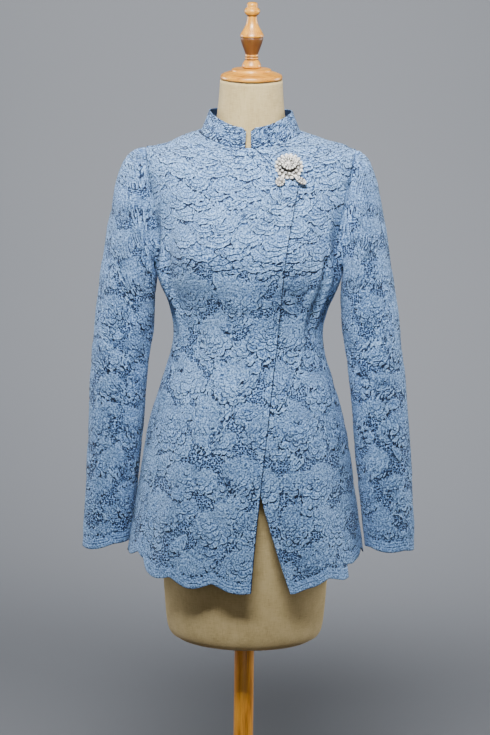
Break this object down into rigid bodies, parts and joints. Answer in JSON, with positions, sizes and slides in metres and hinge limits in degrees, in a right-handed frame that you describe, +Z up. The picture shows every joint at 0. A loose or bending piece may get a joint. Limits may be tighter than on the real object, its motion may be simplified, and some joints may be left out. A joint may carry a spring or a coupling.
{
  "type": "kebaya blouse on a dress form",
  "caption": "Long-sleeved lace kebaya blouse with a slanting wrap front, stand collar, brooch and scalloped hem, on a limbless dress form with a turned cap, pole and round base.",
  "frame": {"origin": "middle of the flat underside of the round base, on the floor", "axes": "+Z up along the pole; the front of the blouse faces -Y; +X is the wearer's left"},
  "size_m": [0.542, 0.38, 1.5695],
  "materials": {
    "lace": "corded floral lace on an opaque lining",
    "collar_lace": "finer lace on an opaque lining",
    "form_linen": "plain linen cover",
    "wood": "clear satin varnish",
    "pearl": "pearls and clear stones"
  },
  "bodies": {
    "root": {"front_right": "lace", "front_left": "lace", "back": "lace", "sleeve_right": "lace", "sleeve_left": "lace", "collar": "collar_lace", "brooch": "pearl", "form_torso": "form_linen", "neck_cap": "wood", "finial": "wood", "pole": "wood", "base": "wood"}
  },
  "joints": []
}
